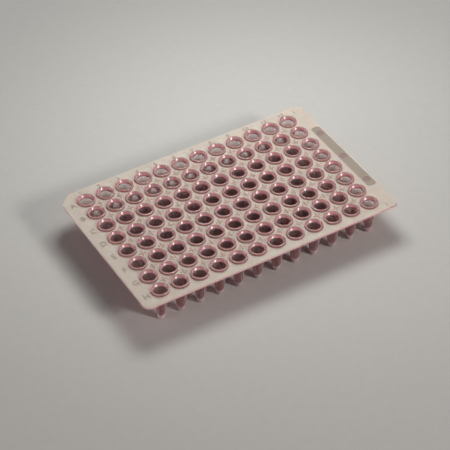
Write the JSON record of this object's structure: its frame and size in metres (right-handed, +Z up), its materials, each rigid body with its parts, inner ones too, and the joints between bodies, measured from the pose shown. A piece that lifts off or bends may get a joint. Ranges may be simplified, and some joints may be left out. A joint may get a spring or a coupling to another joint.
{
  "type": "well plate",
  "caption": "Flat rectangular plate with a grid of thin conical tubes hanging below it, each with a raised rim, and one cut corner.",
  "frame": {"origin": "under the middle of the deck, at the level of the tube tips that the plate stands on", "axes": "+X from column 1 to column 12, +Y from row H to row A, +Z up, out of the wells"},
  "size_m": [0.1198, 0.0778, 0.0159],
  "materials": {
    "polypropylene": "satin, translucent pink"
  },
  "bodies": {
    "root": {"well_plate": "polypropylene"}
  },
  "joints": []
}
